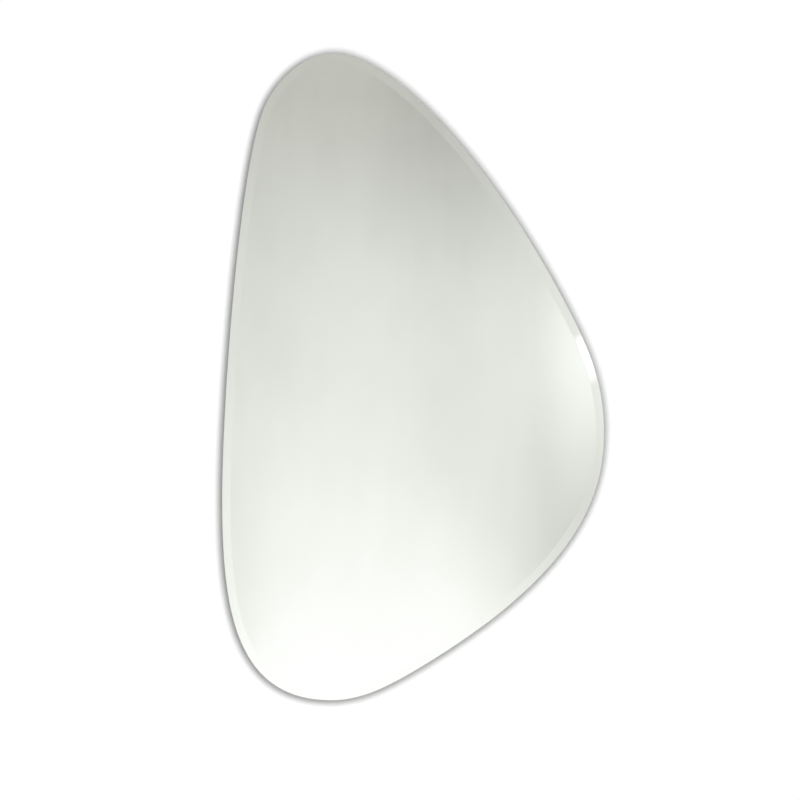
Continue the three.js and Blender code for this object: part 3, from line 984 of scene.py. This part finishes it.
class WALLMIRROR_OT_stage(Operator):
    """Add the camera, the lamps, the wall, the floor and the room that the mirror shows"""

    bl_idname = "wall_mirror.stage"
    bl_label = "Studio"

    def execute(self, context):
        settings = context.scene.mirror_stage
        camera = self.add_camera(context, settings)
        self.add_lamps(context, settings)
        self.add_wall(context, settings)
        self.add_floor(context, settings)
        self.add_card(context, settings, camera.location)
        self.add_room(context, settings)
        context.scene.view_settings.view_transform = "Standard"
        return {"FINISHED"}

    @staticmethod
    def add_camera(context, settings):
        data = bpy.data.cameras.new("camera")
        data.lens = settings.lens
        data.sensor_width = 36.0
        camera = bpy.data.objects.new("camera", data)
        away = settings.view_height * settings.lens / data.sensor_width
        camera.location = (
            GLASS_CENTRE.x - settings.aim_left,
            GLASS_LOW.y - away,
            GLASS_CENTRE.z - settings.aim_down,
        )
        camera.rotation_euler = (math.pi / 2, 0.0, 0.0)
        context.scene.collection.objects.link(camera)
        context.scene.camera = camera
        return camera

    @staticmethod
    def add_lamps(context, settings):
        """The key lamp stands 3 m in front, up and to the right, and throws a soft shadow all round."""
        lamps = (
            ("key", Vector((0.35, -3.0, 0.28)), 2.6, settings.key_power),
            ("fill", Vector((-1.5, 2.6, 1.6)), 1.6, settings.fill_power),
        )
        for name, offset, size, power in lamps:
            data = bpy.data.lights.new(name, "AREA")
            data.shape = "DISK"
            data.size = size
            data.energy = power
            lamp = bpy.data.objects.new(name, data)
            lamp.location = GLASS_CENTRE + offset
            lamp.rotation_euler = (-offset).to_track_quat("-Z", "Y").to_euler()
            lamp.visible_camera = False
            lamp.visible_glossy = lamp.visible_transmission = name != "key"
            context.scene.collection.objects.link(lamp)

    @staticmethod
    def add_sheet(context, name, width, depth, place, finish):
        """A flat sheet of the stage."""
        bm = bmesh.new()
        bmesh.ops.create_grid(bm, x_segments=1, y_segments=1, size=0.5)
        bmesh.ops.scale(bm, vec=(width, depth, 1.0), verts=bm.verts)
        bmesh.ops.transform(bm, matrix=place, verts=bm.verts)
        mesh = to_mesh(name, bm)
        mesh.materials.append(finish)
        sheet = bpy.data.objects.new(name, mesh)
        context.scene.collection.objects.link(sheet)

    @staticmethod
    def facing_out(x, y, z):
        """The place of an upright sheet whose front faces the room."""
        return Matrix.Translation((x, y, z)) @ Matrix.Rotation(math.pi / 2, 4, "X")

    @staticmethod
    def facing_in(x, y, z):
        """The place of an upright sheet whose front faces the wall."""
        return Matrix.Translation((x, y, z)) @ Matrix.Rotation(-math.pi / 2, 4, "X")

    def add_wall(self, context, settings):
        """A white wall right behind the bumpers, seen from the room only.

        It lets light from behind reach the back of the mirror, but lets none of it bounce on to the wall.
        The metal on the back reflects the room through it. An ambient occlusion mask paints shadow on it in
        the narrow gap round the mirror, mixing towards a faint grey glow, and it is pure white away from
        it.
        """
        tree = material("wall_paint_and_painted_shadow")
        from_room = 1.0 - tree.add("NewGeometry", output="Backfacing")
        bounces = tree.add("LightPath", output="Diffuse Depth")
        closed = bounces.maths("GREATER_THAN", bounces, 0.5 + tree.ray("Diffuse"))
        roller = tree.noise(220.0, 3.0)
        paint = {"Color": tuple(settings.wall), "Normal": tree.bump(roller, 0.00005)}
        # Painted shadow: an ambient occlusion mask darkens the wall next to the mirror, towards a faint
        # grey glow.
        gap = tree.add("AmbientOcclusion", {"samples": 16}, {"Distance": 26 * MM}, output="AO")
        shade = tree.add("Emission", None, {"Color": (1.0, 1.0, 0.98), "Strength": 0.08})
        surface = tree.blend(gap ** 3.9, shade, tree.add("BsdfDiffuse", None, paint))
        spot = tree.add("TexCoord", output="Object")
        half_width, half_height = 0.42, 0.62  # of an ellipse well round the mirror
        across = (tree.part(spot, "X") - GLASS_CENTRE.x) / half_width
        up = (tree.part(spot, "Z") - GLASS_CENTRE.z) / half_height
        away = (across * across + up * up) ** 0.5
        white = tree.add("Emission", None, {"Color": (1.0, 1.0, 1.0), "Strength": 1.02})
        seen = tree.ray("Camera", "Transmission").largest(tree.ray("Glossy") * away.between(0.6, 0.65))
        seen = seen * from_room
        surface = tree.blend(away.between(1.0, 1.3), surface, white)
        surface = tree.blend(seen.largest(closed), tree.add("BsdfTransparent"), surface)
        behind = 0.4 * MM  # the faces of the bumpers
        place = self.facing_out(GLASS_CENTRE.x, behind, GLASS_CENTRE.z)
        self.add_sheet(context, "wall", 5.0, 3.2, place, tree.finish(surface))

    def add_floor(self, context, settings):
        """A pale floor that fades out before its edge."""
        tree = material("floor_paint")
        spot = tree.add("TexCoord", output="Object")
        away = tree.add("VectorMath", {"operation": "LENGTH"}, {0: spot}, output="Value")
        mottle = tree.noise(3.0, 3.0)
        base = tuple(settings.floor)
        shade = tree.mix(mottle, base, toned(base, 0.95))
        diffuse = tree.add("BsdfDiffuse", None, {"Color": shade})
        surface = tree.blend(away.between(2.2, 3.4), diffuse, tree.add("BsdfTransparent"))
        place = Matrix.Translation((0, 0, -1.75))  # this far below the hooks
        self.add_sheet(context, "floor", 7.0, 7.0, place, tree.finish(surface))

    def add_card(self, context, settings, eye):
        """A tall glowing card close in front of the glass, which only a reflection shows: a painted room.

        It is white at the foot and turns grey-green with height. Soft patches are brighter or darker, and
        a painted lamp, a small glowing spot on the right, glints off the glass itself, where its bevel
        faces the spot; the silver doesn't show it. Places are in metres from the axis of the camera.
        """
        tree = material("reflected_card")
        spot = tree.add("TexCoord", output="Object")
        across = tree.part(spot, "X") - eye.x
        up = tree.part(spot, "Z") - eye.z
        heights = ((-0.5, 1.06), (-0.2, 0.92), (0.0, 0.83), (0.22, 0.76), (0.38, 0.64), (0.55, 0.53))
        brightest = reach = 1.2
        stops = [(height / reach + 0.5, tone / brightest) for height, tone in heights]
        tone = tree.add("ValToRGB", {"stops": stops}, {"Fac": up / reach + 0.5}, output="Color")
        value = tree.add("SeparateColor", None, {0: tone}, output="Red") * brightest
        patches = (
            (0.50, -0.30, 0.45, 0.50, -0.46),
            (0.35, 0.05, 0.12, 0.40, 0.22),
            (0.10, 0.55, 0.20, 0.60, -0.09),
            (-0.60, -0.35, 0.45, 0.55, -0.41),
            (-0.30, 0.15, 0.20, 0.40, -0.06),
            (0.10, -0.10, 0.15, 0.25, -0.06),
        )
        for x, z, wide, high, gain in patches:
            dx = (across - x) / wide
            dz = (up - z) / high
            value = value + (1.0 - (dx * dx + dz * dz)).clamped() ** 2.0 * gain
        value = value + (tree.noise(1.0, 4.0, vector=tree.place((36.0, 1.0, 7.0))) - 0.5) * 0.055
        value = value + (tree.noise(11.0, 3.0) - 0.5) * 0.035
        # Painted lamp: a small glowing spot on the card, which rays from the silver don't see, so that only
        # the glass's own surface shows it as a glint.
        painted_lamp_x, painted_lamp_z, painted_lamp_radius, painted_lamp_glow = 0.475, 0.141, 0.05, 8.5
        dx, dz = (across - painted_lamp_x) / painted_lamp_radius, (up - painted_lamp_z) / painted_lamp_radius
        dz = dz.largest(dz * -0.55)  # drawn out downwards
        lamp = painted_lamp_glow * (1.0 - (dx * dx + dz * dz).between(0.1, 1.0))
        value = value + lamp * (1.0 - tree.ray("Transmission"))
        tint = tree.mix(up.between(0.3, 0.6), (0.997, 1.0, 0.957), (1.015, 1.0, 0.93))
        tint = tree.mix(value.between(0.92, 1.0), tint, (1.0, 1.0, 0.99))
        glow = tree.add("Emission", None, {"Color": tint, "Strength": value * 1.02})
        away = (across * across + up * up) ** 0.5
        front = 1.0 - tree.add("NewGeometry", output="Backfacing")
        seen = tree.ray("Glossy", "Transmission") * front * (1.0 - away.between(0.9, 1.4))
        surface = tree.blend(seen, tree.add("BsdfTransparent"), glow)
        place = self.facing_in(eye.x, GLASS_LOW.y - settings.card_distance, eye.z)
        self.add_sheet(context, "card", 3.0, 3.0, place, tree.finish(surface))

    @staticmethod
    def add_room(context, settings):
        """The world: plain light from all round, white to the camera, and a pale room to a reflection."""
        world = bpy.data.worlds.new("room")
        context.scene.world = world
        tree = ShaderTree(world)
        up = tree.part(tree.add("TexCoord", output="Generated"), "Z")
        value = 0.55 + 0.45 * up.between(-0.5, 0.7) - 0.2 * (1.0 - (up.absolute() * 6.0)).clamped()
        room = tree.add("Background", None, {"Color": (0.98, 1.0, 0.97), "Strength": value})
        plain = tree.add("Background", None, {"Color": (1.0, 1.0, 1.0), "Strength": settings.room_light})
        white = tree.add("Background", None, {"Color": (1.0, 1.0, 1.0), "Strength": 1.0})
        surface = tree.blend(tree.ray("Glossy", "Transmission"), plain, room)
        tree.finish(tree.blend(tree.ray("Camera"), surface, white))


# --------------------------------------------------------------------------------------- add-on


STEPS = (
    WALLMIRROR_OT_stage,
    WALLMIRROR_OT_glass,
    WALLMIRROR_OT_silver,
    WALLMIRROR_OT_film,
    WALLMIRROR_OT_adhesive,
    WALLMIRROR_OT_board,
    WALLMIRROR_OT_straps,
    WALLMIRROR_OT_rings,
    WALLMIRROR_OT_screws,
    WALLMIRROR_OT_bumpers,
)
SETTINGS = {
    "mirror_glass": GlassSettings,
    "mirror_back": BackSettings,
    "mirror_hangers": HangerSettings,
    "mirror_stage": StageSettings,
}


class VIEW3D_PT_wall_mirror(Panel):
    """The mirror's sizes, colours and pieces"""

    bl_idname = "VIEW3D_PT_wall_mirror"
    bl_label = "Wall mirror"
    bl_space_type = "VIEW_3D"
    bl_region_type = "UI"
    bl_category = "Wall mirror"

    def draw(self, context):
        for name, group in SETTINGS.items():
            box = self.layout.box()
            box.label(text=group.__doc__)
            for setting in group.__annotations__:
                box.prop(getattr(context.scene, name), setting)
        for step in STEPS:
            self.layout.operator(step.bl_idname)


CLASSES = (*SETTINGS.values(), *STEPS, VIEW3D_PT_wall_mirror)


def register():
    for item in CLASSES:
        bpy.utils.register_class(item)
    for name, group in SETTINGS.items():
        setattr(bpy.types.Scene, name, PointerProperty(type=group))


def unregister():
    for name in SETTINGS:
        delattr(bpy.types.Scene, name)
    for item in reversed(CLASSES):
        bpy.utils.unregister_class(item)


def main():
    register()
    for step in STEPS:
        group, name = step.bl_idname.split(".")
        getattr(getattr(bpy.ops, group), name)()


if __name__ == "__main__":
    main()
